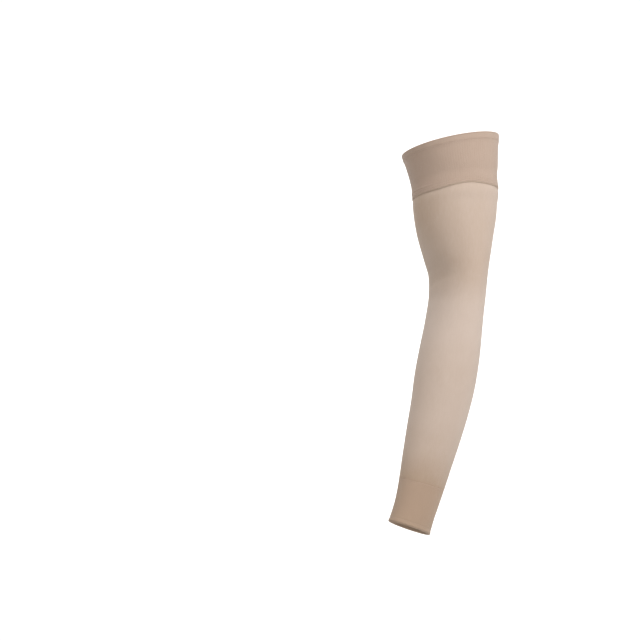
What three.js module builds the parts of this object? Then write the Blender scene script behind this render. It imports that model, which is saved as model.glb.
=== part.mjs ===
// Arm compression sleeve, knitted as one tube from the wrist to below the armpit and shown in its worn shape.
// Units are millimetres. +Z runs up the upper arm and -X is the side that the elbow bends towards.
// The outer side of the arm is -Y. The origin is the centre of the upper opening.
import * as THREE from "three";
import { LoftGeometry } from "three/addons/geometries/LoftGeometry.js";

// Lengths of the arm inside the sleeve, straight down from the upper opening's centre.
const upperArmDrop = 144; // to the crease of the elbow
const forearmDrop = 273; // from that crease to the wrist edge
const elbowSetback = 9; // how far the elbow's centre lies behind the upper opening's
const forearmReach = 63.4; // how far the wrist's centre lies in front of the elbow's

// Size of the arm, front to back and side to side.
const rim = { depth: 109, width: 99 };
const elbow = { depth: 55, width: 79 };
const forearm = { depth: 64, width: 69 };
const wrist = { depth: 44, width: 38 };

// The band sits askew on the arm: higher at the back and on the outer side.
const bandRiseBackDegrees = 3.5;
const bandRiseOutDegrees = 4.5;

// Its lower edge rises further to a soft peak on the outer side. side is the angle round the arm from
// the front, negative towards the outer side, and around says how far the rise fades, in degrees.
const seamPeak = { side: -74, rise: 4.5, around: 32 };

// The cloth.
const bodyWall = 0.8;
const bandHeight = 55;
const bandWall = 1.4;
const bandHemHeight = 8.5;
const bandHemExtra = 0.7; // how far the turned hem stands out from the band
const lapHeight = 6; // the band lies over the top of the tube by this much
const lapRamp = 4; // height over which the band climbs onto the tube
const lapWall = 1.0; // the band is thinner where it is sewn to the tube
const lapPress = 0.4; // the lap and the seam press the tube into the arm by this much
const seamHeight = 1.8;
const seamThickness = 0.8;
const cuffHeight = 47;
const cuffLayer = 0.8; // the inner layer of the turned cuff
const cuffTongueHeight = 6; // that layer reaches up inside the tube by this much
const cuffEdgeHeight = 3.2;
const cuffEdgeExtra = 0.3;
const edgeRound = 0.6;
const clearance = 0.3; // between pieces that touch

// How finely the cloth is faceted.
const facetsAround = 40;
const facetLength = 12;
const creaseFacetLength = 6;

const wristDrop = upperArmDrop + forearmDrop;
const cuffTop = wristDrop - cuffHeight;

// Sections of the upper arm. at is a share of upperArmDrop and back a share of elbowSetback,
// and depth and width are shares of the size named in follows.
const upperArmSections = [
  { at: -0.13, back: -0.25, follows: rim, depth: 1.06, width: 1.04 },
  { at: 0.0, back: 0.0, follows: rim, depth: 1.0, width: 1.0 },
  { at: 0.18, back: 0.44, follows: rim, depth: 0.903, width: 0.938 },
  { at: 0.36, back: 0.68, follows: rim, depth: 0.85, width: 0.887 },
  { at: 0.52, back: 0.67, follows: rim, depth: 0.84, width: 0.877 },
  { at: 0.66, back: 0.68, follows: rim, depth: 0.777, width: 0.85 },
  { at: 0.8, back: 0.81, follows: elbow, depth: 1.335, width: 1.05 },
  { at: 0.92, back: 0.89, follows: elbow, depth: 1.155, width: 1.02 },
];

// Sections of the forearm. at is a share of forearmDrop and forward a share of forearmReach.
const forearmSections = [
  { at: 0.0, forward: 0.013, follows: elbow, depth: 1.03, width: 1.005 },
  { at: 0.09, forward: 0.034, follows: elbow, depth: 0.995, width: 0.955 },
  { at: 0.19, forward: 0.094, follows: forearm, depth: 0.892, width: 1.05 },
  { at: 0.3, forward: 0.176, follows: forearm, depth: 0.975, width: 1.015 },
  { at: 0.42, forward: 0.28, follows: forearm, depth: 1.018, width: 0.965 },
  { at: 0.52, forward: 0.374, follows: forearm, depth: 0.972, width: 0.905 },
  { at: 0.63, forward: 0.506, follows: forearm, depth: 0.915, width: 0.82 },
  { at: 0.76, forward: 0.666, follows: wrist, depth: 1.195, width: 1.26 },
  { at: 0.88, forward: 0.815, follows: wrist, depth: 1.062, width: 1.06 },
  { at: 0.95, forward: 0.922, follows: wrist, depth: 1.015, width: 1.0 },
  { at: 1.0, forward: 1.0, follows: wrist, depth: 1.045, width: 1.0 },
  { at: 1.05, forward: 1.075, follows: wrist, depth: 1.07, width: 1.015 },
];

// Dents and rises of the worn cloth. at is a share of forearmDrop from the elbow's crease, side is the
// angle round the arm from its front, height a share of the elbow's depth, and along and around say
// how far each fades, along as a share of the elbow's depth.
const reliefs = [
  { name: "elbow crease", at: 0.0, side: 0, height: -0.02, along: 0.2, around: 58 },
  { name: "lower elbow crease", at: 0.09, side: 12, height: -0.014, along: 0.12, around: 42 },
  { name: "elbow tip", at: 0.03, side: 180, height: 0.05, along: 0.36, around: 30 },
  { name: "biceps side hollow", at: -0.1, side: -62, height: -0.018, along: 0.4, around: 24 },
];

// The arm's sections in millimetres, from top to bottom.
const sections = [
  ...upperArmSections.map((row) => ({
    drop: row.at * upperArmDrop,
    x: row.back * elbowSetback,
    halfDepth: (row.depth * row.follows.depth) / 2,
    halfWidth: (row.width * row.follows.width) / 2,
  })),
  ...forearmSections.map((row) => ({
    drop: upperArmDrop + row.at * forearmDrop,
    x: elbowSetback - row.forward * forearmReach,
    halfDepth: (row.depth * row.follows.depth) / 2,
    halfWidth: (row.width * row.follows.width) / 2,
  })),
];

// Slope of one column of the sections at a row, from the rows on both sides of it.
function slopeAt(column, row) {
  const before = sections[Math.max(row - 1, 0)];
  const after = sections[Math.min(row + 1, sections.length - 1)];
  return (after[column] - before[column]) / (after.drop - before.drop);
}

// A smooth curve through one column of the sections: its value and slope at a drop.
function columnAt(column, drop) {
  const last = sections.length - 2;
  const found = sections.findIndex((row, index) => index > 0 && drop < row.drop) - 1;
  const row = found < 0 ? last : Math.min(found, last);
  const [from, to] = [sections[row], sections[row + 1]];
  const span = to.drop - from.drop;
  const t = (drop - from.drop) / span;
  const [slopeFrom, slopeTo] = [slopeAt(column, row) * span, slopeAt(column, row + 1) * span];
  const rise = to[column] - from[column];
  const square = 3 * rise - 2 * slopeFrom - slopeTo;
  const cube = slopeFrom + slopeTo - 2 * rise;
  return {
    value: from[column] + t * (slopeFrom + t * (square + t * cube)),
    slope: (slopeFrom + t * (2 * square + 3 * t * cube)) / span,
  };
}

// How many degrees an angle round the arm lies from a side.
function degreesFrom(side, angle) {
  const turn = angle - THREE.MathUtils.degToRad(side);
  return THREE.MathUtils.radToDeg(Math.atan2(Math.sin(turn), Math.cos(turn)));
}

// How far the reliefs lift the cloth at a drop and an angle round the arm.
function reliefAt(drop, angle) {
  return reliefs.reduce((sum, relief) => {
    const away = drop - (upperArmDrop + relief.at * forearmDrop);
    const degreesAway = degreesFrom(relief.side, angle);
    const fade = (away / (relief.along * elbow.depth)) ** 2 + (degreesAway / relief.around) ** 2;
    return sum + relief.height * elbow.depth * Math.exp(-fade);
  }, 0);
}

// How much lower than its nominal drop a slanted ring lies, at a place front and side of its centre.
function slantAt(drop, front, side) {
  const fade = 1 - THREE.MathUtils.smoothstep(drop, bandHeight, upperArmDrop);
  const back = Math.tan(THREE.MathUtils.degToRad(bandRiseBackDegrees));
  const out = Math.tan(THREE.MathUtils.degToRad(bandRiseOutDegrees));
  return fade * (front * back + side * out);
}

// How much higher than its nominal drop a ring lies near the peak of the band's lower edge.
function peakAt(drop, angle) {
  const above = THREE.MathUtils.smoothstep(drop, 0, bandHeight);
  const below = 1 - THREE.MathUtils.smoothstep(drop, bandHeight, upperArmDrop);
  const fade = Math.exp(-((degreesFrom(seamPeak.side, angle) / seamPeak.around) ** 2));
  return above * below * fade * seamPeak.rise;
}

// The point of the cloth at a nominal drop, an angle round the arm and a distance out from the skin.
function armPoint(nominalDrop, angle, out) {
  const cos = Math.cos(angle);
  const sin = Math.sin(angle);
  const front = columnAt("halfDepth", nominalDrop).value * cos;
  const side = columnAt("halfWidth", nominalDrop).value * sin;
  const drop = nominalDrop + slantAt(nominalDrop, front, side) - peakAt(nominalDrop, angle);

  const halfDepth = columnAt("halfDepth", drop).value;
  const halfWidth = columnAt("halfWidth", drop).value;
  const outward = new THREE.Vector2(halfWidth * cos, halfDepth * sin).normalize();
  const inSection = new THREE.Vector2(halfDepth * cos, halfWidth * sin);
  inSection.addScaledVector(outward, out + reliefAt(drop, angle));

  const centre = columnAt("x", drop);
  const tilt = Math.atan(-centre.slope);
  return new THREE.Vector3(
    centre.value - inSection.x * Math.cos(tilt),
    inSection.y,
    -drop + inSection.x * Math.sin(tilt),
  );
}

// A closed ring of cloth: its wall profile, a list of [drop, out] pairs, carried round the arm.
function ringOfCloth(name, profile, material) {
  const loft = [];
  for (let step = 0; step <= facetsAround; step++) {
    const angle = (-2 * Math.PI * (step % facetsAround)) / facetsAround;
    loft.push(profile.map(([drop, out]) => armPoint(drop, angle, out)));
  }
  const mesh = new THREE.Mesh(new LoftGeometry(loft), material);
  mesh.name = name;
  return mesh;
}

// Drops from one level to another in equal steps no longer than a given length.
function levels(from, to, longest) {
  const count = Math.ceil((to - from) / longest);
  return Array.from({ length: count + 1 }, (_, step) => from + ((to - from) * step) / count);
}

// The knitted tube, from under the band to the cuff.
function sleeveBody() {
  const top = bandHeight - lapHeight;
  const bottom = cuffTop;
  const pressed = bandHeight + clearance + seamHeight;
  const creaseHalf = elbow.depth / 2;
  const crease = [upperArmDrop - creaseHalf, upperArmDrop + creaseHalf];
  const drops = [
    ...levels(top, pressed, facetLength),
    ...levels(pressed + lapRamp, crease[0], facetLength),
    ...levels(crease[0], crease[1], creaseFacetLength).slice(1),
    ...levels(crease[1], bottom, facetLength).slice(1),
  ];
  const inner = (drop) => (drop <= pressed ? -lapPress : 0);
  const outside = drops.map((drop) => [drop, inner(drop) + bodyWall]);
  const inside = drops.map((drop) => [drop, inner(drop)]).reverse();
  return ringOfCloth("sleeve_body", [...outside, ...inside], knit);
}

// The wide elastic band round the upper arm, turned over at its top edge and lapped over the tube.
function topBand() {
  const onTube = bodyWall - lapPress + clearance;
  const lapOut = onTube + lapWall;
  const hemOut = bandWall + bandHemExtra;
  const lapTop = bandHeight - lapHeight - clearance;
  const rampTop = lapTop - lapRamp;
  const profile = [
    [edgeRound, 0],
    [0, edgeRound],
    [0, hemOut - edgeRound],
    [edgeRound, hemOut],
    [bandHemHeight - edgeRound, hemOut],
    [bandHemHeight + edgeRound, bandWall],
    ...levels(bandHemHeight + 2 * edgeRound, rampTop, facetLength).slice(1).map((drop) => [drop, bandWall]),
    [lapTop, lapOut],
    [bandHeight - edgeRound, lapOut],
    [bandHeight, lapOut - edgeRound],
    [bandHeight, onTube],
    [lapTop, onTube],
    [rampTop, 0],
    ...levels(bandHemHeight, rampTop, facetLength).slice(0, -1).reverse().map((drop) => [drop, 0]),
  ];
  return ringOfCloth("top_band", profile, bandKnit);
}

// The overlocked seam in the corner under the band's lower edge.
function bandSeam() {
  const middle = bandHeight + clearance + seamHeight / 2;
  const middleOut = bodyWall - lapPress + clearance + seamThickness / 2;
  const corners = 8;
  const profile = Array.from({ length: corners }, (_, corner) => {
    const turn = (2 * Math.PI * (corner + 0.5)) / corners;
    return [
      middle - (Math.cos(turn) * seamHeight) / 2,
      middleOut + (Math.sin(turn) * seamThickness) / 2,
    ];
  });
  return ringOfCloth("band_seam", profile, seamThread);
}

// The turned cuff at the wrist, flush with the tube, with its inner layer reaching up inside it.
function wristCuff() {
  const inner = -clearance - cuffLayer;
  const edgeTop = wristDrop - cuffEdgeHeight;
  const edgeOut = bodyWall + cuffEdgeExtra;
  const tongueTop = cuffTop - cuffTongueHeight;
  const drops = levels(cuffTop + clearance, edgeTop - edgeRound, facetLength);
  const profile = [
    [tongueTop, inner],
    [tongueTop, -clearance],
    [cuffTop + clearance, -clearance],
    ...drops.map((drop) => [drop, bodyWall]),
    [edgeTop + edgeRound, edgeOut],
    [wristDrop - edgeRound, edgeOut],
    [wristDrop, edgeOut - edgeRound],
    [wristDrop, inner + edgeRound],
    [wristDrop - edgeRound, inner],
    ...drops.slice(0, -1).reverse().map((drop) => [drop, inner]),
  ];
  return ringOfCloth("wrist_cuff", profile, cuffKnit);
}

const knit = new THREE.MeshStandardMaterial({ color: 0xd0bba9, roughness: 0.9, metalness: 0 });
const bandKnit = new THREE.MeshStandardMaterial({ color: 0xbfa590, roughness: 0.9, metalness: 0 });
const seamThread = new THREE.MeshStandardMaterial({ color: 0xa88d78, roughness: 0.85, metalness: 0 });
const cuffKnit = new THREE.MeshStandardMaterial({ color: 0xb3967f, roughness: 0.9, metalness: 0 });

const sleeve = new THREE.Group();
sleeve.add(sleeveBody(), topBand(), bandSeam(), wristCuff());

export default sleeve;
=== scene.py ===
"""Looks of a knitted arm compression sleeve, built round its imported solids.

Lengths are in metres and angles in degrees. +Z runs up the sleeve's upper part, -X is the front, which
the elbow bends towards, and -Y is the outer side. A drop is a length down the middle of the hollow from
the rim, a turn is an angle round the sleeve from its front, and out is a distance from the sleeve's
smooth inside.
"""

import logging
import math
from dataclasses import dataclass, field
from enum import Enum

import bpy
import numpy as np
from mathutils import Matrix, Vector
from mathutils.bvhtree import BVHTree

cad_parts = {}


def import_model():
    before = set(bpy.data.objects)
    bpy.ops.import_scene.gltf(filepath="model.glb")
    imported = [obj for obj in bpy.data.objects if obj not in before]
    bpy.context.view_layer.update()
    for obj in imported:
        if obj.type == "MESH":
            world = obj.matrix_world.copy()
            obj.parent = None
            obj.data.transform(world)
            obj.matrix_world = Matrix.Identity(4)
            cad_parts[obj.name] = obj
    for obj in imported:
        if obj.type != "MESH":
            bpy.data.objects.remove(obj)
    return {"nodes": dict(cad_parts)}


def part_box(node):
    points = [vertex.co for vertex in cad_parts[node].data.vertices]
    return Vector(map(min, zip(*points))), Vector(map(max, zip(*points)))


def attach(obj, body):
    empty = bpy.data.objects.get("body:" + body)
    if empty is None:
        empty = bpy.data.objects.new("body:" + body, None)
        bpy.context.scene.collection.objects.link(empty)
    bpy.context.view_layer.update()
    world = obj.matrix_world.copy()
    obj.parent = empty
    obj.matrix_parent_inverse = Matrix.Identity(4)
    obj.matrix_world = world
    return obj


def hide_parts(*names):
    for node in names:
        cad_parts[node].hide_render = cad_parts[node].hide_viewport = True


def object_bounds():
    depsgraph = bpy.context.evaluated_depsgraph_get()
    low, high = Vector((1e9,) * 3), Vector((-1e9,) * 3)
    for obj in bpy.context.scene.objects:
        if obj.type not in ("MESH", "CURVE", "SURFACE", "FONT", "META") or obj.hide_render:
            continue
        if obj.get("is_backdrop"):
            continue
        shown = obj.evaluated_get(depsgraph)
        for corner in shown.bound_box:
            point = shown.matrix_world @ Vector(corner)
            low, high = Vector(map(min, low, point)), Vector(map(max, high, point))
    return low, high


Array = np.ndarray
Object = bpy.types.Object
Material = bpy.types.Material
Socket = bpy.types.NodeSocket
Profile = list[tuple[Array, Array | float]]

LOG = logging.getLogger("arm_sleeve")
MM = 0.001
BODY = "root"
KNIT_MAP = "knit"
# The stretch attribute holds the knit's stretch tone together with painted shade.
STRETCH_AND_SHADE = "stretch"
OUTWARD = "outward"
EVEN_STRETCH = 0.5
# Painted shade on the sleeve's front: the turn it is centred on and how far round it reaches, in degrees.
FRONT_SHADE_TURN = 5
FRONT_SHADE_AROUND = 40


# Small helpers


def linear(code: str) -> tuple[float, float, float, float]:
    """Linear colour of a hexadecimal sRGB code.

    Args:
        code: Six hexadecimal digits, two for each of red, green and blue.

    Returns:
        Red, green, blue and an alpha of one.
    """
    shares = [int(code[place : place + 2], 16) / 255 for place in (0, 2, 4)]
    red, green, blue = (
        share / 12.92 if share <= 0.04045 else ((share + 0.055) / 1.055) ** 2.4 for share in shares
    )
    return red, green, blue, 1.0


def smooth(value: Array, low: float, high: float) -> Array:
    """Smooth step from nought at low to one at high."""
    share = np.clip((value - low) / (high - low), 0, 1)
    return share * share * (3 - 2 * share)


def hump(value: Array, middle: float, width: float) -> Array:
    """Bell curve of height one round a middle, which falls to about a third at its width."""
    return np.exp(-(((value - middle) / width) ** 2))


def levels(start: float, end: float, spacing: float) -> Array:
    """Even levels from start to end, both included, at most a spacing apart."""
    return np.linspace(start, end, math.ceil(abs(end - start) / spacing) + 1)


def ring_turns(count: int) -> Array:
    """Even turns once round, in radians."""
    return np.arange(count) * 2 * math.pi / count


def turn_from(turns: Array, side: float) -> Array:
    """Angles from a side, which is in degrees, to some turns, all in radians within half a turn."""
    return (turns - math.radians(side) + math.pi) % (2 * math.pi) - math.pi


def front_shade_share(turns: Array) -> Array:
    """How far each turn, in radians, belongs to the front, where painted shade darkens the sleeve's top."""
    return hump(turn_from(turns, FRONT_SHADE_TURN), 0, math.radians(FRONT_SHADE_AROUND))


def unit(vectors: Array) -> Array:
    """Vectors scaled to a length of one, along the last axis."""
    return vectors / np.linalg.norm(vectors, axis=-1, keepdims=True)


def placed(name: str, data: bpy.types.ID) -> Object:
    """Makes an object and links it to the scene.

    Args:
        name: Its name.
        data: Its mesh, lamp or camera.

    Returns:
        The object, at the origin.
    """
    made = bpy.data.objects.new(name, data)
    bpy.context.scene.collection.objects.link(made)
    return made


# The sleeve's form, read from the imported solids


@dataclass(frozen=True)
class RingPlane:
    """The plane of a ring round the sleeve, with its normal pointing up the sleeve."""

    point: Array
    up: Array


@dataclass(frozen=True)
class Span:
    """The planes and the drops of a solid's upper and lower edge."""

    upper: RingPlane
    lower: RingPlane
    start: float
    end: float


@dataclass(frozen=True)
class Probe:
    """One solid whose inner face tells where the inside is, and how much of its ends to skip."""

    node: str
    out: float
    skip_top: float = 0.0
    skip_bottom: float = 0.0


def node_points(node: Object) -> Array:
    """Places of a node's vertices.

    Args:
        node: The node.

    Returns:
        One row for each vertex.
    """
    flat = np.empty(len(node.data.vertices) * 3, dtype=np.float32)
    node.data.vertices.foreach_get("co", flat)
    return flat.reshape(-1, 3).astype(float)


def edge_plane(node: Object, top: bool) -> RingPlane:
    """Plane of a tube's upper or lower edge.

    Args:
        node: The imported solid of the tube.
        top: True for the upper edge and False for the lower one.

    Returns:
        The plane through the outermost vertex of each sector round the tube.
    """
    reach = 40 * MM
    sectors = 20
    sign = 1 if top else -1
    points = node_points(node)
    height = sign * points[:, 2]
    near = points[height > height.max() - reach]
    middle = (near.min(axis=0) + near.max(axis=0)) / 2
    turn = np.arctan2(near[:, 1] - middle[1], near[:, 0] - middle[0])
    sector = ((turn / (2 * math.pi) + 0.5) * sectors).astype(int) % sectors
    picked = [near[sector == one] for one in range(sectors)]
    rim = np.array([some[np.argmax(sign * some[:, 2])] for some in picked])
    flat = np.column_stack([rim[:, 0], rim[:, 1], np.ones(sectors)])
    slope_x, slope_y, height_at_axis = np.linalg.lstsq(flat, rim[:, 2], rcond=None)[0]
    return RingPlane(np.array([0, 0, height_at_axis]), unit(np.array([-slope_x, -slope_y, 1.0])))


class SleeveForm:
    """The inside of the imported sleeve, a smooth surface of drop and turn."""

    PROBES = (
        Probe("top_band", out=0.0, skip_bottom=17 * MM),
        Probe("sleeve_body", out=0.0, skip_top=16 * MM),
        Probe("wrist_cuff", out=-1.1 * MM, skip_top=8 * MM),
    )
    FIRST_CAST = 20 * MM
    CAST_STEP = 10 * MM
    CAST_INSET = 1.2 * MM
    LINE_STEP = 2 * MM
    LINE_PASSES = 12
    LINE_EXTRA = 4
    ROW_STEP = 3 * MM
    RAYS = 120
    HARMONICS = 10
    FACET_PASSES = 6
    SEAM_WAVES = 8
    SEAM_REACH = 90 * MM

    def __init__(self, nodes: dict[str, Object]) -> None:
        """Reads the form.

        Args:
            nodes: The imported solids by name.
        """
        self.trees = {name: self._tree([node]) for name, node in nodes.items()}
        self.whole = self._tree(list(nodes.values()))
        self.line = self._middle_line()
        steps = np.linalg.norm(np.diff(self.line, axis=0), axis=1)
        self.line_drops = np.concatenate([[0], np.cumsum(steps)])
        planes = {name: (edge_plane(node, True), edge_plane(node, False)) for name, node in nodes.items()}
        self.line_drops -= self._drop_of(planes["top_band"][0])
        self.edges = {name: tuple(self._drop_of(plane) for plane in pair) for name, pair in planes.items()}
        spans = {name: Span(*planes[name], *self.edges[name]) for name in nodes}
        self.seam_drop = sum(self.edges["band_seam"]) / 2
        self.seam_waves = self._read_seam(nodes["band_seam"], spans["band_seam"])
        self.rows, self.table = self._read_rings(spans)

    @staticmethod
    def _tree(nodes: list[Object]) -> BVHTree:
        """Search tree over the faces of some solids.

        Args:
            nodes: The solids.

        Returns:
            The tree.
        """
        points, faces, count = [], [], 0
        for node in nodes:
            points.extend(node_points(node).tolist())
            faces.extend([count + index for index in face.vertices] for face in node.data.polygons)
            count = len(points)
        return BVHTree.FromPolygons(points, faces)

    def _middle_line(self) -> Array:
        """Middle of the hollow, found by casting across it at step after step down.

        Returns:
            Points from above the rim to past the wrist's edge.
        """
        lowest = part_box("wrist_cuff")[0][2]
        point = Vector((0, 0, -self.FIRST_CAST))
        line = [Vector((0, 0, self.FIRST_CAST)), Vector((0, 0, 0))]
        while point.z > lowest + 2 * self.CAST_STEP:
            for axis in (Vector((-1, 0, 0)), Vector((0, 1, 0))):
                ahead, behind = self.whole.ray_cast(point, axis)[0], self.whole.ray_cast(point, -axis)[0]
                point = (ahead + behind) / 2
            line.append(point)
            point = point - Vector((0, 0, self.CAST_STEP))
        line.append(line[-1] + self.LINE_EXTRA * (line[-1] - line[-2]))
        raw = np.array(line)
        heights = levels(raw[0, 2], raw[-1, 2], self.LINE_STEP)
        columns = [np.interp(-heights, -raw[:, 2], raw[:, column]) for column in (0, 1)]
        smoothed = [self._soften(column[:, None], self.LINE_PASSES)[:, 0] for column in columns]
        return np.column_stack([*smoothed, heights])

    def _drop_of(self, plane: RingPlane) -> float:
        """Drop at which the middle line crosses a plane."""
        above = (self.line - plane.point) @ plane.up
        return float(np.interp(0, above[::-1], self.line_drops[::-1]))

    def _middle_at(self, drop: float) -> Array:
        """Point of the middle line at a drop."""
        return np.array([np.interp(drop, self.line_drops, self.line[:, axis]) for axis in range(3)])

    @staticmethod
    def _soften(rows: Array, passes: int) -> Array:
        """Averages rows with their neighbours.

        Args:
            rows: The rows, of which the first and the last stay.
            passes: How many times.

        Returns:
            The softened rows.
        """
        rows = rows.copy()
        for _ in range(passes):
            rows[1:-1] = rows[:-2] / 4 + rows[1:-1] / 2 + rows[2:] / 4
        return rows

    def _read_rings(self, spans: dict[str, Span]) -> tuple[Array, Array]:
        """Rings of the inside, felt from the middle line.

        Args:
            spans: The edges of each solid.

        Returns:
            The drop of each ring, and a row for each with its middle, its two directions and the
            waves of its radius round the hollow.
        """
        turns = ring_turns(self.RAYS)
        drops, frames, radii = [], [], []
        for probe in self.PROBES:
            span, tree = spans[probe.node], self.trees[probe.node]
            for drop in levels(span.start, span.end, self.ROW_STEP):
                if not span.start + probe.skip_top <= drop <= span.end - probe.skip_bottom:
                    continue
                inset = np.clip(drop, span.start + self.CAST_INSET, span.end - self.CAST_INSET)
                middle, ahead, side = self._ring_frame(inset, span)
                ways = np.outer(np.cos(turns), ahead) + np.outer(np.sin(turns), side)
                hits = [tree.ray_cast(Vector(middle), Vector(way))[3] for way in ways]
                drops.append(drop)
                radii.append(np.array(hits, dtype=float) - probe.out)
                frames.append(np.concatenate(self._ring_frame(drop, span)))
        waves = np.fft.rfft(self._soften(np.array(radii), self.FACET_PASSES), axis=1) / self.RAYS
        kept = waves[:, : self.HARMONICS + 1] * np.where(np.arange(self.HARMONICS + 1) > 0, 2, 1)
        return np.array(drops), np.hstack([np.array(frames), kept.real, -kept.imag])

    def _read_seam(self, node: Object, span: Span) -> Array:
        """Waves of the seam, which dips below and rises above its plane.

        Args:
            node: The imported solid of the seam.
            span: Its edges.

        Returns:
            A cosine and a sine for each order of the wave round the sleeve.
        """
        middle, ahead, side = self._ring_frame(self.seam_drop, span)
        away = node_points(node) - middle
        turns = np.arctan2(away @ side, away @ ahead)
        plane = (span.upper.point + span.lower.point) / 2
        below = (plane - node_points(node)) @ unit(span.upper.up + span.lower.up)
        return np.linalg.lstsq(self._orders(turns), below, rcond=None)[0]

    def _orders(self, turns: Array) -> Array:
        """Cosines and sines of the seam's waves at some turns, one row for each turn."""
        angles = np.outer(turns, np.arange(1, self.SEAM_WAVES + 1))
        return np.hstack([np.ones((len(turns), 1)), np.cos(angles), np.sin(angles)])

    def _bent(self, drops: Array, turns: Array) -> Array:
        """Drops of rings that follow the seam's waves near it.

        Args:
            drops: Drop of each row.
            turns: Turn of each column, in radians.

        Returns:
            The drop for each row and column.
        """
        above = smooth(drops, self.edges["top_band"][0], self.seam_drop)
        below = 1 - smooth(drops, self.seam_drop, self.seam_drop + self.SEAM_REACH)
        return drops[:, None] + np.outer(above * below, self._orders(turns) @ self.seam_waves)

    def _ring_frame(self, drop: float, span: Span) -> tuple[Array, Array, Array]:
        """Middle and two directions of a ring between two edges.

        Args:
            drop: Drop of the ring.
            span: The edges.

        Returns:
            The ring's middle, its way to the front and its way to the inner side.
        """
        share = (drop - span.start) / (span.end - span.start)
        up = unit(span.upper.up * (1 - share) + span.lower.up * share)
        ahead = unit(np.cross(up, [0.0, 1.0, 0.0]))
        return self._middle_at(drop), ahead, np.cross(ahead, up)

    def _row_at(self, drops: Array) -> Array:
        """The table at any drops, on a smooth curve through its rows.

        Args:
            drops: Drops to read.

        Returns:
            One row of the table for each drop.
        """
        knots, table = self.rows, self.table
        slopes = np.gradient(table, knots, axis=0)
        index = np.clip(np.searchsorted(knots, drops) - 1, 0, len(knots) - 2)
        span = (knots[index + 1] - knots[index])[:, None]
        share = (drops[:, None] - knots[index][:, None]) / span
        inside = np.clip(share, 0, 1)
        rise = table[index + 1] - table[index]
        from_slope, to_slope = slopes[index] * span, slopes[index + 1] * span
        square = 3 * rise - 2 * from_slope - to_slope
        cube = from_slope + to_slope - 2 * rise
        curve = table[index] + inside * (from_slope + inside * (square + inside * cube))
        past = (share - inside) * np.where(share > 1, to_slope, from_slope)
        return curve + past

    def inside(self, drops: Array, turns: Array) -> Array:
        """Points of the sleeve's inside.

        Args:
            drops: Drop of each row.
            turns: Turn of each column, in radians.

        Returns:
            An array of rows, columns and coordinates.
        """
        row = self._row_at(self._bent(drops, turns).ravel()).reshape(len(drops), len(turns), -1)
        middle, ahead, side = row[:, :, 0:3], row[:, :, 3:6], row[:, :, 6:9]
        angles = np.outer(turns, np.arange(self.HARMONICS + 1))
        waves = np.hstack([np.cos(angles), np.sin(angles)])
        radius = np.einsum("rcw,cw->rc", row[:, :, 9:], waves)[:, :, None]
        way = np.cos(turns)[None, :, None] * ahead + np.sin(turns)[None, :, None] * side
        return middle + radius * way

    def outward(self, drops: Array, turns: Array) -> Array:
        """Directions straight out of the inside.

        Args:
            drops: Drop of each row.
            turns: Turn of each column, in radians.

        Returns:
            An array of rows, columns and coordinates.
        """
        down, along = 0.5 * MM, 0.01
        down_way = self.inside(drops + down, turns) - self.inside(drops - down, turns)
        round_way = self.inside(drops, turns + along) - self.inside(drops, turns - along)
        return unit(np.cross(round_way, down_way))

    def cloth(self, drops: Array, turns: Array, out: Array) -> Array:
        """Points at a distance out from the inside.

        Args:
            drops: Drop of each row.
            turns: Turn of each column, in radians.
            out: The distance for each row and column.

        Returns:
            An array of rows, columns and coordinates.
        """
        return self.inside(drops, turns) + self.outward(drops, turns) * out[:, :, None]

    def girth(self, drop: float) -> float:
        """Length round the inside at a drop."""
        ring = self.inside(np.array([drop]), ring_turns(self.RAYS))
        return float(np.linalg.norm(np.roll(ring, -1, axis=1) - ring, axis=2).sum())

    def elbow_drop(self) -> float:
        """Drop of the elbow's crease.

        Returns:
            Where the front of the sleeve's upper half lies furthest back.
        """
        start, end = self.edges["sleeve_body"]
        drops = levels(start, (start + end) / 2, MM)
        return float(drops[np.argmax(self.inside(drops, np.zeros(1))[:, 0, 0])])


# Node trees, written with short calls


class Nodes:
    """A node tree that is being written."""

    MIX_INPUTS = (0, 6, 7)
    MIX_COLOUR = 2

    def __init__(self, tree: bpy.types.NodeTree) -> None:
        """Starts on a tree, which is emptied."""
        self.tree = tree
        tree.nodes.clear()

    def add(self, kind: str, settings: dict | None = None, **inputs: object) -> Socket | None:
        """Adds a node.

        Args:
            kind: The node's type name.
            settings: Properties of the node itself.
            **inputs: A value or a socket for each named input, with _ in place of a space.

        Returns:
            Its first output, if it has one.
        """
        node = self.tree.nodes.new(kind)
        for name, value in (settings or {}).items():
            setattr(node, name, value)
        for name, value in inputs.items():
            self.feed(node.inputs[name.replace("_", " ")], value)
        return node.outputs[0] if node.outputs else None

    def feed(self, socket: Socket, value: object) -> None:
        """Feeds an input.

        Args:
            socket: The input.
            value: A socket to link to it, or a value to set.
        """
        if isinstance(value, Socket):
            self.tree.links.new(value, socket)
        else:
            socket.default_value = value

    def math(self, operation: str, *values: object) -> Socket:
        """Adds a Math node.

        Args:
            operation: What it works out.
            *values: A number or a socket for each of its inputs.

        Returns:
            Its output.
        """
        result = self.add("ShaderNodeMath", {"operation": operation})
        for socket, value in zip(result.node.inputs, values):
            self.feed(socket, value)
        return result

    def blend(self, share: object, low: object, high: object) -> Socket:
        """Mixes two colours.

        Args:
            share: How much of the second one is in it.
            low: First colour.
            high: Second colour.

        Returns:
            The mixed colour.
        """
        node = self.add("ShaderNodeMix", {"data_type": "RGBA"}).node
        for index, value in zip(self.MIX_INPUTS, (share, low, high)):
            self.feed(node.inputs[index], value)
        return node.outputs[self.MIX_COLOUR]

    def noise(self, place: Socket, scale: float, detail: float) -> Socket:
        """Strength of a noise, from nought to one, read at a place."""
        return self.add("ShaderNodeTexNoise", Vector=place, Scale=scale, Detail=detail)

    def object_place(self) -> Socket:
        """Object coordinates."""
        return self.add("ShaderNodeTexCoord").node.outputs["Object"]


# Finishes


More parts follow.
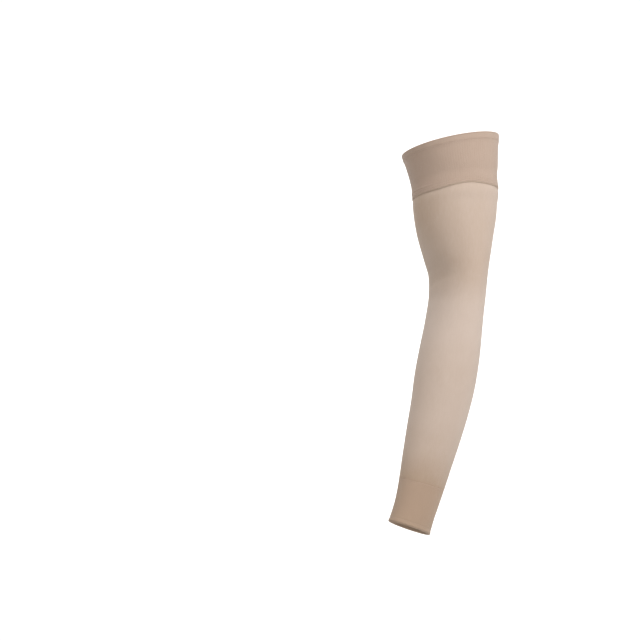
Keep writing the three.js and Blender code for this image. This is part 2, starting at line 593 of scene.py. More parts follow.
@dataclass(frozen=True)
class Finish:
    """A finish. Each kind says what its shader is fed."""

    name: str

    def surface(self, nodes: Nodes) -> dict[str, object]:
        """Values and sockets for the shader's inputs."""
        raise NotImplementedError

    def material(self) -> Material:
        """Makes the material.

        Returns:
            A new material with this finish.
        """
        made = bpy.data.materials.new(self.name)
        made.use_nodes = True
        nodes = Nodes(made.node_tree)
        shader = nodes.add("ShaderNodeBsdfPrincipled", **self.surface(nodes))
        nodes.add("ShaderNodeOutputMaterial", Surface=shader)
        return made


@dataclass(frozen=True)
class KnitFinish(Finish):
    """A matt stretch knit, darker where it is slack and lighter where it is stretched, with painted shade
    carried in its stretch and painted between its loops.
    """

    slack: str
    stretched: str
    wales: int
    course: float
    loop_depth: float
    rib_every: int = 1
    rib_depth: float = 0.0
    chevron: float = 1.2
    course_share: float = 0.3
    # Colour of the painted shade between the knitted loops, and how much of it is mixed in.
    groove: str = "665040"
    groove_shade_share: float = 0.16
    streak_share: float = 0.22
    streak_drift: float = 5.0
    mottle_share: float = 0.16
    tone_shift: float = 0.19

    def surface(self, nodes: Nodes) -> dict[str, object]:
        """Loops, ribs, painted shade between the loops and an uneven tone, from the knit map, the stretch and
        Object coordinates.

        Args:
            nodes: The tree that is being written.

        Returns:
            The shader's inputs.
        """
        place = nodes.add("ShaderNodeUVMap", {"uv_map": KNIT_MAP})
        turn, drop = nodes.add("ShaderNodeSeparateXYZ", Vector=place).node.outputs[:2]
        loops = self._loops(nodes, turn, drop)
        # Painted shade: the colour darkens between the loops, where the bump is low.
        between = nodes.math("MULTIPLY", nodes.math("SUBTRACT", 1.0, loops), self.groove_shade_share)
        raised = nodes.math("MULTIPLY", loops, self.loop_depth / MM)
        height = nodes.math("ADD", raised, self._ribs(nodes, turn))
        return {
            "Base_Color": nodes.blend(between, self._tone(nodes, turn, drop), linear(self.groove)),
            "Roughness": 0.88,
            "Sheen_Weight": 0.18,
            "Sheen_Roughness": 0.5,
            "Specular_IOR_Level": 0.25,
            "Normal": nodes.add("ShaderNodeBump", Strength=1.0, Distance=MM, Height=height),
        }

    def _loops(self, nodes: Nodes, turn: Socket, drop: Socket) -> Socket:
        """Height of the knitted loops, from nought between them to one on their legs.

        Args:
            nodes: The tree that is being written.
            turn: Share of the way round the sleeve.
            drop: Length down the sleeve.

        Returns:
            The height.
        """
        wale = nodes.math("FRACT", nodes.math("MULTIPLY", turn, float(self.wales)))
        from_middle = nodes.math("ABSOLUTE", nodes.math("SUBTRACT", wale, 0.5))
        leg = nodes.math("SINE", nodes.math("MULTIPLY", from_middle, 2 * math.pi))
        slant = nodes.math("MULTIPLY", from_middle, self.chevron)
        row = nodes.math("ADD", nodes.math("DIVIDE", drop, self.course), slant)
        wave = nodes.math("COSINE", nodes.math("MULTIPLY", row, 2 * math.pi))
        course = nodes.math("ADD", nodes.math("MULTIPLY", wave, self.course_share), 1 - self.course_share)
        return nodes.math("MULTIPLY", leg, course)

    def _ribs(self, nodes: Nodes, turn: Socket) -> Socket:
        """Height of the ribs in millimetres.

        Args:
            nodes: The tree that is being written.
            turn: Share of the way round the sleeve.

        Returns:
            The height.
        """
        around = nodes.math("MULTIPLY", turn, 2 * math.pi * self.wales / self.rib_every)
        wave = nodes.math("ADD", nodes.math("MULTIPLY", nodes.math("COSINE", around), 0.5), 0.5)
        return nodes.math("MULTIPLY", wave, self.rib_depth / MM)

    def _tone(self, nodes: Nodes, turn: Socket, drop: Socket) -> Socket:
        """Colour of the yarn as stretched, with the painted shade that the stretch carries, faint streaks
        along the wales and a mottle.

        Args:
            nodes: The tree that is being written.
            turn: Share of the way round the sleeve.
            drop: Length down the sleeve.

        Returns:
            The colour.
        """
        angle = nodes.math("MULTIPLY", turn, 2 * math.pi)
        along = nodes.add(
            "ShaderNodeCombineXYZ",
            X=nodes.math("COSINE", angle),
            Y=nodes.math("SINE", angle),
            Z=nodes.math("MULTIPLY", drop, self.streak_drift),
        )
        streaks = nodes.noise(along, scale=26.0, detail=4.0)
        mottle = nodes.noise(nodes.object_place(), scale=55.0, detail=3.0)
        mottled = nodes.math("MULTIPLY", mottle, self.mottle_share)
        both = nodes.math("ADD", nodes.math("MULTIPLY", streaks, self.streak_share), mottled)
        uneven = nodes.math("SUBTRACT", both, self.tone_shift)
        # The stretch attribute also carries painted shade.
        stretch = nodes.add("ShaderNodeAttribute", {"attribute_name": STRETCH_AND_SHADE}).node.outputs["Fac"]
        share = nodes.math("MAXIMUM", nodes.math("ADD", stretch, uneven), 0.0)
        return nodes.blend(nodes.math("MINIMUM", share, 1.0), linear(self.slack), linear(self.stretched))


@dataclass(frozen=True)
class ThreadFinish(Finish):
    """Spun sewing thread, with fine plies from Object coordinates and painted shade where they lie low."""

    colour: str
    # Colour of the painted shade where the plies lie low.
    shade: str

    def surface(self, nodes: Nodes) -> dict[str, object]:
        """Plies in the colour and in the bump, the colour darker where the plies lie low as painted shade.

        Args:
            nodes: The tree that is being written.

        Returns:
            The shader's inputs.
        """
        # One noise gives the bump and the colour: the shade colour is painted shade where the plies lie low.
        plies = nodes.noise(nodes.object_place(), scale=2400.0, detail=2.0)
        return {
            "Base_Color": nodes.blend(plies, linear(self.shade), linear(self.colour)),
            "Roughness": 0.7,
            "Sheen_Weight": 0.2,
            "Specular_IOR_Level": 0.3,
            "Normal": nodes.add("ShaderNodeBump", Strength=0.6, Distance=0.1 * MM, Height=plies),
        }


@dataclass(frozen=True)
class PaperFinish(Finish):
    """Seamless studio paper, matt and plain, with a little light through it from behind."""

    colour: str
    glow: float

    def surface(self, nodes: Nodes) -> dict[str, object]:
        """Plain values.

        Args:
            nodes: The tree that is being written; not used.

        Returns:
            The shader's inputs.
        """
        return {
            "Base_Color": linear(self.colour),
            "Roughness": 1.0,
            "Specular_IOR_Level": 0.0,
            "Emission_Color": linear(self.colour),
            "Emission_Strength": self.glow,
        }


TUBE_KNIT = KnitFinish(
    "tube_knit", slack="a68b71", stretched="cbb9ac", wales=336, course=0.55 * MM, loop_depth=0.07 * MM
)
BAND_KNIT = KnitFinish(
    "band_knit",
    slack="a99180",
    stretched="c0ab9c",
    wales=336,
    course=0.8 * MM,
    loop_depth=0.08 * MM,
    rib_every=3,
    rib_depth=0.05 * MM,
)
CUFF_KNIT = KnitFinish(
    "cuff_knit",
    slack="a38a74",
    stretched="b79e8a",
    wales=256,
    course=0.6 * MM,
    loop_depth=0.06 * MM,
    rib_every=2,
    rib_depth=0.08 * MM,
)
SEAM_THREAD = ThreadFinish("seam_thread", colour="c0ac9c", shade="a9937f")
HEM_THREAD = ThreadFinish("hem_thread", colour="bda797", shade="ad9685")
STUDIO_PAPER = PaperFinish("studio_paper", colour="f7f7f6", glow=0.05)


# Cloth


def loft_object(name: str, points: Array, drops: Array) -> Object:
    """Closed wall whose rows are rings round the sleeve and whose last row meets its first.

    Args:
        name: Name of the piece.
        points: Rows, columns and coordinates.
        drops: Drop of each row, for the knit map.

    Returns:
        The object, smooth, with its knit map.
    """
    rows, columns = points.shape[:2]
    index = np.arange(rows * columns).reshape(rows, columns)
    right, below = np.roll(index, -1, axis=1), np.roll(index, -1, axis=0)
    corner = np.roll(right, -1, axis=0)
    faces = np.stack([index, below, corner, right], axis=-1).reshape(-1, 4)
    mesh = bpy.data.meshes.new(name)
    mesh.from_pydata(points.reshape(-1, 3).tolist(), [], faces.tolist())
    turn = np.arange(columns + 1) / columns
    left, right, low = turn[:-1], turn[1:], np.roll(drops, -1)
    pairs = (np.meshgrid(*pair) for pair in ((left, drops), (left, low), (right, low), (right, drops)))
    corners = [np.stack(pair, axis=-1) for pair in pairs]
    knit_map = mesh.uv_layers.new(name=KNIT_MAP)
    knit_map.data.foreach_set("uv", np.stack(corners, axis=2).astype(np.float32).ravel())
    mesh.polygons.foreach_set("use_smooth", np.ones(len(faces), dtype=bool))
    mesh.update()
    return placed(name, mesh)


def rounded_edge(
    drop: float, inner: float, outer: float, down: bool, steps: int = 8, radius: float | None = None
) -> tuple[Array, Array]:
    """Round edge of a wall.

    Args:
        drop: Drop of the edge's outermost point.
        inner: How far out the wall's inner face lies.
        outer: How far out its outer face lies.
        down: True for a lower edge, walked from the outer face to the inner one, and False for an
            upper edge, walked the other way.
        steps: Number of steps in the half circle.
        radius: Radius of the wall's two corners, if they don't meet in a half circle.

    Returns:
        Drops and distances out.
    """
    half = (outer - inner) / 2
    corner = radius or half
    angle = np.linspace(-math.pi / 2, math.pi / 2, steps + 1)
    sign = 1 if down else -1
    across = corner * np.sin(angle) + (half - corner) * np.sign(np.round(angle, 6))
    return drop - sign * corner * (1 - np.cos(angle)), (inner + outer) / 2 - sign * across


@dataclass(frozen=True)
class Fold:
    """A soft fold of the cloth, this much below a given drop and this way round."""

    below: float
    side: float
    height: float
    along: float
    around: float
    lean: float = 0.0

    def relief(self, start: float, drops: Array, turns: Array) -> Array:
        """Height of the fold.

        Args:
            start: Drop that its place counts from.
            drops: Drop of each row.
            turns: Turn of each column, in radians.

        Returns:
            The height for each row and column.
        """
        away = turn_from(turns, self.side)
        middle = start + self.below + self.lean * away[None, :]
        fade = hump(away, 0, math.radians(self.around))[None, :]
        return self.height * fade * hump(drops[:, None] - middle, 0, self.along)


@dataclass
class ClothPiece:
    """A closed wall of cloth round the hollow. Each kind says what its wall's profile is."""

    form: SleeveForm
    name: str
    node: str
    slot: str
    finish: Finish
    columns: int

    @property
    def edges(self) -> tuple[float, float]:
        """Drops of the upper and the lower edge of the solid that the piece stands for."""
        return self.form.edges[self.node]

    def profile(self) -> Profile:
        """Drops and distances out of the wall's profile, a closed loop, part by part."""
        raise NotImplementedError

    def relief(self, drops: Array, turns: Array) -> Array:
        """Height of the cloth's folds, for each row and column."""
        return np.zeros((len(drops), len(turns)))

    def stretch(self, drops: Array, turns: Array) -> Array:
        """How far the cloth is stretched, less any painted shade, from nought to one, for each row and
        column.
        """
        return np.full((len(drops), len(turns)), EVEN_STRETCH)

    def build(self) -> Object:
        """Makes the piece and dresses it.

        Returns:
            The finished object, which stands for its solid.
        """
        parts = (np.broadcast_arrays(*part) for part in self.profile())
        drops, outs = (np.concatenate(rows) for rows in zip(*parts))
        turns = ring_turns(self.columns)
        out = outs[:, None] + self.relief(drops, turns)
        made = loft_object(self.name, self.form.cloth(drops, turns, out), drops)
        layer = made.data.attributes.new(STRETCH_AND_SHADE, "FLOAT", "POINT")
        layer.data.foreach_set("value", self.stretch(drops, turns).astype(np.float32).ravel())
        made.data.materials.append(self.finish.material())
        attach(made, BODY)
        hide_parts(self.node)
        return made


@dataclass
class KnittedTube(ClothPiece):
    """The seamless tube from under the band to the cuff."""

    wall: float = 0.8 * MM
    press: float = 0.4 * MM
    press_ramp: float = 4.0 * MM
    cut: float = 0.03 * MM
    row_step: float = 2.2 * MM
    inner_coarse: int = 2
    compression: float = 1.2
    bend_reach: float = 8 * MM
    # Painted shade at the front of the tube's top: how much, and the drops over which it fades out.
    front_shade: float = 0.3
    front_shade_reach: tuple[float, float] = (60 * MM, 130 * MM)
    # Stretch tone down the tube, set row by row to the sleeve's brightness: partly the knit's own tone,
    # partly painted shade at the elbow and above the wrist.
    opening_and_shade: tuple[tuple[float, float], ...] = (
        (60 * MM, 0.76),
        (82 * MM, 0.69),
        (102 * MM, 0.67),
        (118 * MM, 0.67),
        (138 * MM, 0.62),
        (156 * MM, 0.66),
        (179 * MM, 0.92),
        (210 * MM, 0.98),
        (255 * MM, 0.84),
        (305 * MM, 0.85),
        (340 * MM, 0.72),
        (360 * MM, 0.5),
        (380 * MM, 0.24),
    )
    folds: tuple[Fold, ...] = (
        Fold(below=-16 * MM, side=-28, height=-0.45 * MM, along=7 * MM, around=44, lean=9 * MM),
        Fold(below=-6 * MM, side=10, height=0.35 * MM, along=5 * MM, around=40, lean=5 * MM),
        Fold(below=3 * MM, side=-8, height=-0.55 * MM, along=4.5 * MM, around=48, lean=4 * MM),
        Fold(below=13 * MM, side=14, height=0.3 * MM, along=5 * MM, around=38, lean=-4 * MM),
        Fold(below=24 * MM, side=-14, height=-0.3 * MM, along=7 * MM, around=36, lean=-6 * MM),
    )

    def profile(self) -> Profile:
        """Outer face down, cut lower edge, inner face up and upper edge, pressed in under the seam.

        Returns:
            Drops and distances out.
        """
        top, bottom = self.edges
        low_drops = bottom - self.cut * np.array([1, 0, 0, 1])
        low_outs = self.wall * np.array([1, 1, 0, 0]) + self.cut * np.array([0, -1, 1, 0])
        parts = [
            (levels(top + self.wall, bottom - self.wall, self.row_step), self.wall),
            (low_drops, low_outs),
            (levels(bottom - self.wall, top + self.wall, self.inner_coarse * self.row_step), 0.0),
            rounded_edge(top, 0.0, self.wall, down=False),
        ]
        start = self.form.edges["band_seam"][1]
        end = start + self.press_ramp
        return [(drops, outs - self.press * (1 - smooth(drops, start, end))) for drops, outs in parts]

    def relief(self, drops: Array, turns: Array) -> Array:
        """Soft folds in front of the elbow, for each row and column."""
        crease = self.form.elbow_drop()
        return sum(fold.relief(crease, drops, turns) for fold in self.folds)

    def stretch(self, drops: Array, turns: Array) -> Array:
        """More where the tube is wide and less in the elbow's bend, with painted shade at the elbow and above
        the wrist in its table, and lowered by painted shade at the front of its top.

        Args:
            drops: Drop of each row.
            turns: Turn of each column, in radians.

        Returns:
            The stretch for each row and column.
        """
        along, opened = zip(*self.opening_and_shade)
        inside, reach = self.form.inside, self.bend_reach
        lengths = np.linalg.norm(inside(drops + reach, turns) - inside(drops - reach, turns), axis=2)
        bend = lengths / lengths.mean(axis=1, keepdims=True) - 1
        # Painted shade: the tube's top is darker at its front.
        slack = self.front_shade * np.outer(1 - smooth(drops, *self.front_shade_reach), front_shade_share(turns))
        return np.clip(np.interp(drops, along, opened)[:, None] + self.compression * bend - slack, 0, 1)


@dataclass
class ElasticBand(ClothPiece):
    """The wide elastic band, turned over at the rim and lapped over the tube."""

    wall: float = 1.4 * MM
    hem_height: float = 8.5 * MM
    hem_extra: float = 0.4 * MM
    hem_ramp: float = 3.4 * MM
    lap_out: float = 0.46 * MM
    lap_wall: float = 0.9 * MM
    lap_height: float = 6.3 * MM
    lap_ramp: float = 4.0 * MM
    row_step: float = 0.7 * MM
    inner_coarse: int = 3
    edge_radius: float = 0.2 * MM
    # Painted shade at the band's front: how much its stretch tone is lowered there.
    front_shade: float = 0.28
    groove: float = 0.12 * MM
    groove_width: float = 0.55 * MM
    hem_stitch: float = 7.2 * MM
    lap_stitches: tuple[float, float] = (3.9 * MM, 1.5 * MM)
    ruck: Fold = Fold(below=-5.4 * MM, side=8, height=0.6 * MM, along=0.9 * MM, around=27)

    def _lapped(self, drops: Array) -> Array:
        """How far each drop belongs to the lap over the tube."""
        lap_top = self.edges[1] - self.lap_height
        return smooth(drops, lap_top - self.lap_ramp, lap_top)

    def _outer(self, drops: Array) -> Array:
        """Outer face, with the hem, the step onto the tube and the stitched grooves.

        Args:
            drops: Drop of each row.

        Returns:
            How far out the face lies at each drop.
        """
        hem_start, hem_end = self.hem_height - self.hem_ramp, self.hem_height + self.hem_ramp
        face = self.wall + self.hem_extra * (1 - smooth(drops, hem_start, hem_end))
        face += (self.lap_out + self.lap_wall - self.wall) * self._lapped(drops)
        rows = [self.hem_stitch, *(self.edges[1] - up for up in self.lap_stitches)]
        return face - self.groove * sum(hump(drops, row, self.groove_width) for row in rows)

    def profile(self) -> Profile:
        """Outer face down, lower edge, inner face up and the fold at the rim.

        Returns:
            Drops and distances out.
        """
        top, bottom = self.edges
        hem_out, lap_face = self.wall + self.hem_extra, self.lap_out + self.lap_wall
        outer = levels(top + hem_out / 2, bottom - self.edge_radius, self.row_step)
        inner = levels(bottom - self.edge_radius, top + hem_out / 2, self.inner_coarse * self.row_step)
        return [
            (outer, self._outer(outer)),
            rounded_edge(bottom, self.lap_out, lap_face, down=True, radius=self.edge_radius),
            (inner, self.lap_out * self._lapped(inner)),
            rounded_edge(top, 0.0, hem_out, down=False),
        ]

    def relief(self, drops: Array, turns: Array) -> Array:
        """A short fold just above the lap, where the band is slack, for each row and column."""
        return self.ruck.relief(self.edges[1], drops, turns)

    def stretch(self, drops: Array, turns: Array) -> Array:
        """Less at the front, as painted shade, for each row and column."""
        return np.tile(EVEN_STRETCH - self.front_shade * front_shade_share(turns), (len(drops), 1))


@dataclass
class TurnedCuff(ClothPiece):
    """The turned cuff at the wrist, flush with the tube, with its inner layer reaching up inside it."""

    outer_out: float = 0.8 * MM
    inner_out: float = -1.1 * MM
    tongue_out: float = -0.3 * MM
    shelf_gap: float = 0.035 * MM
    edge_height: float = 3.2 * MM
    edge_extra: float = 0.3 * MM
    edge_ramp: float = 1.0 * MM
    row_step: float = 0.7 * MM
    inner_coarse: int = 3
    groove: float = 0.2 * MM
    groove_width: float = 0.5 * MM
    top_stitch: float = 2.2 * MM
    hem_stitch: float = 5.0 * MM
    top_stretch: float = 0.68
    stretch_loss: float = 0.24

    @property
    def shelf(self) -> float:
        """Drop at which the cuff's outer layer starts, just under the tube's edge."""
        return self.form.edges["sleeve_body"][1] + self.shelf_gap

    def profile(self) -> Profile:
        """Outer face down, the fold at the wrist, inner face up, and down the tongue to the shelf.

        Returns:
            Drops and distances out.
        """
        tongue, bottom = self.edges
        shelf, gap = self.shelf, self.shelf_gap
        edge_out = self.outer_out + self.edge_extra
        radius = (edge_out - self.inner_out) / 2
        edge_top = bottom - self.edge_height
        outer = levels(shelf + gap, bottom - radius, self.row_step)
        swell = smooth(outer, edge_top - self.edge_ramp, edge_top + self.edge_ramp)
        outer_outs = self.outer_out + self.edge_extra * swell
        for row in (shelf + self.top_stitch, bottom - self.hem_stitch):
            outer_outs = outer_outs - self.groove * hump(outer, row, self.groove_width)
        back_drops = np.array([shelf - gap, shelf, shelf])
        back_outs = np.array([self.tongue_out, self.tongue_out, self.outer_out - gap])
        return [
            (outer, outer_outs),
            rounded_edge(bottom, self.inner_out, edge_out, down=True),
            (levels(bottom - radius, tongue + gap, self.inner_coarse * self.row_step), self.inner_out),
            rounded_edge(tongue, self.inner_out, self.tongue_out, down=False, steps=4),
            (back_drops, back_outs),
        ]

    def stretch(self, drops: Array, turns: Array) -> Array:
        """More next to the tube than at the wrist's edge.

        Args:
            drops: Drop of each row.
            turns: Turn of each column, in radians.

        Returns:
            The stretch for each row and column.
        """
        top, bottom = self.edges
        loss = self.stretch_loss * smooth(drops, top, bottom - self.edge_height)
        return np.repeat(self.top_stretch - loss[:, None], len(turns), axis=1)


@dataclass
class OverlockSeam(ClothPiece):
    """The raised seam in the corner under the band's lower edge."""

    height: float = 1.2 * MM
    gap: float = 0.06 * MM
    thickness: float = 0.7 * MM
    base_out: float = 0.46 * MM
    squareness: float = 0.6
    sides: int = 20

    @property
    def middle(self) -> float:
        """Drop of the seam's middle, close under the band."""
        return self.form.edges["top_band"][1] + self.gap + self.height / 2

    def profile(self) -> Profile:
        """A flat oval with blunt ends.

        Returns:
            Drops and distances out.
        """
        angle, half = ring_turns(self.sides), self.thickness / 2
        waves = (np.sin(angle), np.cos(angle))
        along, across = (np.sign(wave) * np.abs(wave) ** self.squareness for wave in waves)
        return [(self.middle + self.height / 2 * along, self.base_out + half + half * across)]


# Stitches


@dataclass(frozen=True)
class StitchRow:
    """A row of stitches round the sleeve."""

    name: str
    drop: float
    out: float
    pitch: float = 2.6 * MM
    length: float = 2.1 * MM
    rise: float = 0.16 * MM
    thread: float = 0.13 * MM
    slant: float = 0.0
    slot: str = "seam_thread"


class StitchTree:
    """Geometry Nodes that lay one arched stitch on each point of a ring."""

    SOCKETS = {
        "Count": "NodeSocketInt",
        "Length": "NodeSocketFloat",
        "Rise": "NodeSocketFloat",
        "Slant": "NodeSocketFloat",
        "Thread Radius": "NodeSocketFloat",
        "Thread": "NodeSocketMaterial",
    }
    RING_SIDES = 240
    ARCH_STEPS = 6
    THREAD_SIDES = 6

    def __init__(self) -> None:
        """Writes the tree."""
        self.tree = bpy.data.node_groups.new("stitch_row", "GeometryNodeTree")
        face = self.tree.interface
        face.new_socket("Ring", in_out="INPUT", socket_type="NodeSocketGeometry")
        self.inputs = {
            name: face.new_socket(name, in_out="INPUT", socket_type=kind).identifier
            for name, kind in self.SOCKETS.items()
        }
        face.new_socket("Stitches", in_out="OUTPUT", socket_type="NodeSocketGeometry")
        nodes = Nodes(self.tree)
        given = nodes.add("NodeGroupInput").node.outputs
        line = nodes.add("GeometryNodeMeshToCurve", Mesh=given["Ring"])
        even = nodes.add("GeometryNodeResampleCurve", {"mode": "COUNT"}, Curve=line, Count=given["Count"])
        stitches = nodes.add(
            "GeometryNodeInstanceOnPoints",
            Points=even,
            Instance=self._stitch(nodes, given),
            Rotation=self._turned(nodes, given),
        )
        real = nodes.add("GeometryNodeRealizeInstances", Geometry=stitches)
        dressed = nodes.add("GeometryNodeSetMaterial", Geometry=real, Material=given["Thread"])
        nodes.add("NodeGroupOutput", Stitches=dressed)

    def _stitch(self, nodes: Nodes, given: bpy.types.bpy_prop_collection) -> Socket:
        """One stitch: a thread arched over the cloth.

        Args:
            nodes: The tree that is being written.
            given: The tree's inputs.

        Returns:
            The stitch's mesh.
        """
        # A Bezier arch rises to half the height of its middle handle.
        half = nodes.math("MULTIPLY", given["Length"], 0.5)
        start = nodes.add("ShaderNodeCombineXYZ", X=nodes.math("MULTIPLY", half, -1.0))
        top = nodes.add("ShaderNodeCombineXYZ", Z=nodes.math("MULTIPLY", given["Rise"], 2.0))
        end = nodes.add("ShaderNodeCombineXYZ", X=half)
        arch = nodes.add(
            "GeometryNodeCurveQuadraticBezier", Resolution=self.ARCH_STEPS, Start=start, Middle=top, End=end
        )
        section = nodes.add(
            "GeometryNodeCurvePrimitiveCircle", Resolution=self.THREAD_SIDES, Radius=given["Thread Radius"]
        )
        thread = nodes.add("GeometryNodeCurveToMesh", Curve=arch, Profile_Curve=section, Fill_Caps=True)
        return nodes.add("GeometryNodeSetShadeSmooth", Geometry=thread)

    @staticmethod
    def _turned(nodes: Nodes, given: bpy.types.bpy_prop_collection) -> Socket:
        """Turn of a stitch: along the ring, with its arch outwards, and then slanted.

        Args:
            nodes: The tree that is being written.
            given: The tree's inputs.

        Returns:
            The rotation.
        """
        along = nodes.add("GeometryNodeInputTangent")
        out = nodes.add("GeometryNodeInputNamedAttribute", {"data_type": "FLOAT_VECTOR"}, Name=OUTWARD)
        align, upwards = "FunctionNodeAlignRotationToVector", {"axis": "Z", "pivot_axis": "X"}
        lengthwise = nodes.add(align, {"axis": "X"}, Vector=along)
        upright = nodes.add(align, upwards, Rotation=lengthwise, Vector=out)
        slant = nodes.add("FunctionNodeAxisAngleToRotation", Axis=(0, 0, 1), Angle=given["Slant"])
        rotate, local = "FunctionNodeRotateRotation", {"rotation_space": "LOCAL"}
        return nodes.add(rotate, local, Rotation=upright, Rotate_By=slant)

    def sew(self, form: SleeveForm, row: StitchRow, thread: Material) -> Object:
        """Makes a row of stitches as a plain mesh.

        Args:
            form: The sleeve's form.
            row: Where and what the stitches are.
            thread: Their material.

        Returns:
            The finished object.
        """
        sides = self.RING_SIDES
        turns = ring_turns(sides)
        drops = np.array([row.drop])
        ring = form.cloth(drops, turns, np.full((1, sides), row.out))[0]
        mesh = bpy.data.meshes.new(row.name + "_ring")
        mesh.from_pydata(ring.tolist(), [(one, (one + 1) % sides) for one in range(sides)], [])
        layer = mesh.attributes.new(OUTWARD, "FLOAT_VECTOR", "POINT")
        layer.data.foreach_set("vector", form.outward(drops, turns)[0].astype(np.float32).ravel())
        guide = placed(row.name + "_ring", mesh)
        modifier = guide.modifiers.new("stitches", "NODES")
        modifier.node_group = self.tree
        values = {
            "Count": round(form.girth(row.drop) / row.pitch),
            "Length": row.length,
            "Rise": row.rise,
            "Slant": math.radians(row.slant),
            "Thread Radius": row.thread,
            "Thread": thread,
        }
        for name, value in values.items():
            modifier[self.inputs[name]] = value
        evaluated = guide.evaluated_get(bpy.context.evaluated_depsgraph_get())
        made = placed(row.name, bpy.data.meshes.new_from_object(evaluated))
        bpy.data.objects.remove(guide)
        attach(made, BODY)
        return made


# The studio


@dataclass(frozen=True)
class StudioSweep:
    """Pale floor that curves up all round into a low wall, far enough away for every view."""

    floor_height: float = -1.35
    floor_radius: float = 3.4
    middle_radius: float = 0.02
    curve_radius: float = 1.6
    wall_height: float = 2.4
    sides: int = 96
    curve_steps: int = 16

    def build(self) -> None:
        """Makes the sweep and marks it as stage."""
        angle = np.linspace(0, math.pi / 2, self.curve_steps + 1)
        curve = self.floor_radius + self.curve_radius * np.sin(angle)
        radii = np.concatenate([[self.middle_radius, self.floor_radius / 2], curve])
        heights = np.concatenate([[0, 0], self.curve_radius * (1 - np.cos(angle))])
        radii, heights = np.append(radii, radii[-1]), np.append(heights, heights[-1] + self.wall_height)
        turns = ring_turns(self.sides)
        height = np.repeat((heights + self.floor_height)[:, None], self.sides, axis=1)
        points = np.stack([np.outer(radii, np.cos(turns)), np.outer(radii, np.sin(turns)), height], axis=-1)
        index = np.arange(points.shape[0] * self.sides).reshape(-1, self.sides)
        right = np.roll(index, -1, axis=1)
        faces = np.stack([index[:-1], right[:-1], right[1:], index[1:]], axis=-1).reshape(-1, 4).tolist()
        faces.append(index[0][::-1].tolist())
        mesh = bpy.data.meshes.new("studio_sweep")
        mesh.from_pydata(points.reshape(-1, 3).tolist(), [], faces)
        mesh.polygons.foreach_set("use_smooth", np.ones(len(faces), dtype=bool))
        mesh.materials.append(STUDIO_PAPER.material())
        sweep = placed("studio_sweep", mesh)
        sweep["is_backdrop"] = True


def view_way(azimuth: float, elevation: float) -> Vector:
    """Direction from the sleeve towards a viewer.

    Args:
        azimuth: Nought in front of the outer side, and more towards the back.
        elevation: Angle above the horizon.

    Returns:
        A vector of length one.
    """
    turn, rise = math.radians(azimuth), math.radians(elevation)
    return Vector((math.sin(turn) * math.cos(rise), -math.cos(turn) * math.cos(rise), math.sin(rise)))


class LampRole(Enum):
    """What a lamp is for."""

    KEY = "key"
    SIDE = "side"
    TOP = "top"
    BACK = "back"
    WALL = "wall"


@dataclass(frozen=True)
class Lamp:
    """A soft square lamp, aimed at the middle of the sleeve unless an aim is given."""

    role: LampRole
    azimuth: float
    elevation: float
    distance: float
    size: float
    power: float
    aim: tuple[float, float] | None = None
    spread: float = 180.0

    def build(self, target: Vector) -> None:
        """Hangs the lamp.

        Args:
            target: What it is aimed at.
        """
        data = bpy.data.lights.new(self.role.value, "AREA")
        data.energy = self.power
        data.size = self.size
        data.spread = math.radians(self.spread)
        lamp = placed(self.role.value, data)
        way = view_way(self.azimuth, self.elevation)
        lamp.location = target + way * self.distance
        lamp.visible_camera = False
        shine = view_way(*self.aim) if self.aim else -way
        lamp.rotation_euler = shine.to_track_quat("-Z", "Y").to_euler()


@dataclass(frozen=True)
class PhotoCamera:
    """The photo's viewpoint, with the rim's middle where the photo has it."""

    azimuth: float = -24.0
    elevation: float = -5.5
    distance: float = 1.3
    focal_pixels: float = 1174.0
    frame_pixels: float = 640.0
    rim_pixel: tuple[float, float] = (449.5, 145.5)
    sensor: float = 36.0

    def build(self) -> None:
        """Places the camera and makes it the scene's own."""
        data = bpy.data.cameras.new("photo_camera")
        data.sensor_width = self.sensor
        data.lens = self.focal_pixels / self.frame_pixels * self.sensor
        camera = placed("photo_camera", data)
        ahead = -view_way(self.azimuth, self.elevation)
        turned = ahead.to_track_quat("-Z", "Y")
        right, up = turned @ Vector((1, 0, 0)), turned @ Vector((0, 1, 0))
        across, down = ((pixel - self.frame_pixels / 2) / self.focal_pixels for pixel in self.rim_pixel)
        camera.location = -(ahead + right * across - up * down) * self.distance
        camera.rotation_euler = turned.to_euler()
        bpy.context.scene.camera = camera


@dataclass
class Studio:
    """Camera, lamps, sweep and the light all round."""

    sky: float = 0.33
    lamps: tuple[Lamp, ...] = (
        Lamp(LampRole.KEY, azimuth=12, elevation=38, distance=1.6, size=1.0, power=14),
        Lamp(LampRole.SIDE, azimuth=24, elevation=25, distance=1.6, size=1.0, power=8),
        Lamp(LampRole.TOP, azimuth=-80, elevation=60, distance=2.4, size=1.8, power=30),
        Lamp(LampRole.BACK, azimuth=150, elevation=40, distance=2.0, size=1.4, power=4),
        Lamp(
            LampRole.WALL,
            azimuth=156,
            elevation=-28,
            distance=1.3,
            size=0.7,
            power=75,
            aim=(156, 23),
            spread=115,
        ),
    )
    camera: PhotoCamera = field(default_factory=PhotoCamera)
    sweep: StudioSweep = field(default_factory=StudioSweep)

    def build(self, target: Vector) -> None:
        """Sets up the studio.

        Args:
            target: The middle of the sleeve.
        """
        self.camera.build()
        self.sweep.build()
        for lamp in self.lamps:
            lamp.build(target)
        world = bpy.data.worlds.new("studio")
        world.use_nodes = True
        sky = world.node_tree.nodes["Background"]
        sky.inputs["Color"].default_value = (1.0, 1.0, 1.0, 1.0)
        sky.inputs["Strength"].default_value = self.sky
        bpy.context.scene.world = world
        bpy.context.scene.view_settings.view_transform = "Standard"


# The sleeve


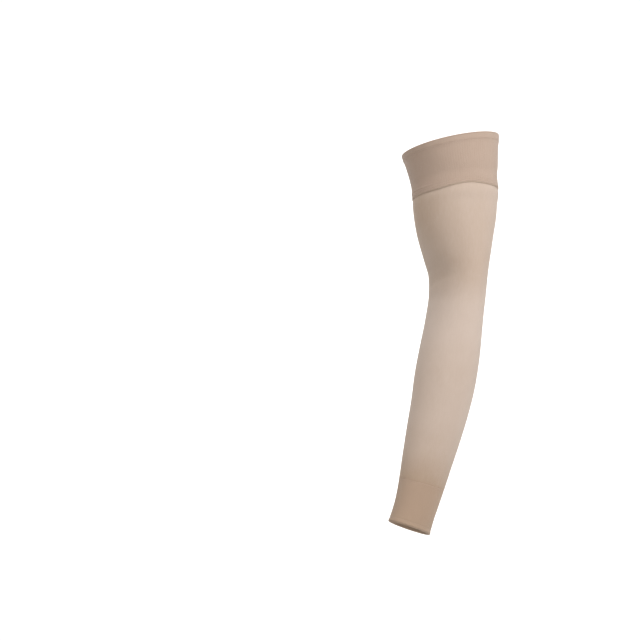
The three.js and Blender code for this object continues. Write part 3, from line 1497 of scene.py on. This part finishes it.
class ArmSleeve:
    """The whole sleeve: its cloth, its seam and its stitches."""

    def __init__(self, nodes: dict[str, Object]) -> None:
        """Reads the sleeve's form and sets out the pieces.

        Args:
            nodes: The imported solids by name.
        """
        self.form = SleeveForm(nodes)
        self.tube = KnittedTube(self.form, "knitted_tube", "sleeve_body", "body_knit", TUBE_KNIT, columns=192)
        self.band = ElasticBand(self.form, "elastic_band", "top_band", "band_knit", BAND_KNIT, columns=256)
        self.cuff = TurnedCuff(self.form, "turned_cuff", "wrist_cuff", "cuff_knit", CUFF_KNIT, columns=192)
        self.seam = OverlockSeam(
            self.form, "overlock_seam", "band_seam", "seam_thread", SEAM_THREAD, columns=240
        )

    def hem_rows(self) -> list[StitchRow]:
        """Rows of flat stitches along the hems, in the cloth's own shade.

        Returns:
            The rows, from the rim to the wrist.
        """
        band, cuff = self.band, self.cuff
        hem_face = band.wall + band.hem_extra - band.groove
        lap_face = band.lap_out + band.lap_wall - band.groove
        cuff_face = cuff.outer_out - cuff.groove
        lower, wrist = band.edges[1], cuff.edges[1]
        return [
            StitchRow("hem_stitches", band.hem_stitch, hem_face),
            StitchRow("lap_stitches_upper", lower - band.lap_stitches[0], lap_face),
            StitchRow("lap_stitches_lower", lower - band.lap_stitches[1], lap_face),
            StitchRow("cuff_stitches", cuff.shelf + cuff.top_stitch, cuff_face),
            StitchRow("wrist_stitches", wrist - cuff.hem_stitch, cuff_face),
        ]

    def loop_row(self) -> StitchRow:
        """The slanting loops of the overlock over the seam.

        Returns:
            Their row.
        """
        seam, over = self.seam, 0.12 * MM
        return StitchRow(
            "seam_loops",
            seam.middle,
            seam.base_out,
            pitch=1.3 * MM,
            length=1.5 * MM,
            rise=seam.thickness + over,
            thread=0.15 * MM,
            slant=72.0,
        )

    def build(self) -> None:
        tube, band, cuff, seam = (piece.build() for piece in (self.tube, self.band, self.cuff, self.seam))
        tree, hem_thread = StitchTree(), HEM_THREAD.material()
        sewn = {row.name: tree.sew(self.form, row, hem_thread) for row in self.hem_rows()}
        sewn["seam_loops"] = tree.sew(self.form, self.loop_row(), seam.data.materials[0])
        for piece in (tube, band, cuff, seam, *sewn.values()):
            LOG.info("%s: %d faces", piece.name, len(piece.data.polygons))


def corners(box: tuple[Vector, Vector]) -> list[list[float]]:
    """A box's corners as plain lists."""
    return [list(corner) for corner in box]


def main() -> None:
    """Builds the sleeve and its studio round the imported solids."""
    logging.basicConfig(level=logging.INFO, format="%(name)s: %(message)s")
    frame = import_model()
    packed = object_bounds()
    Studio().build((packed[0] + packed[1]) / 2)
    ArmSleeve(frame["nodes"]).build()


if __name__ == "__main__":
    main()
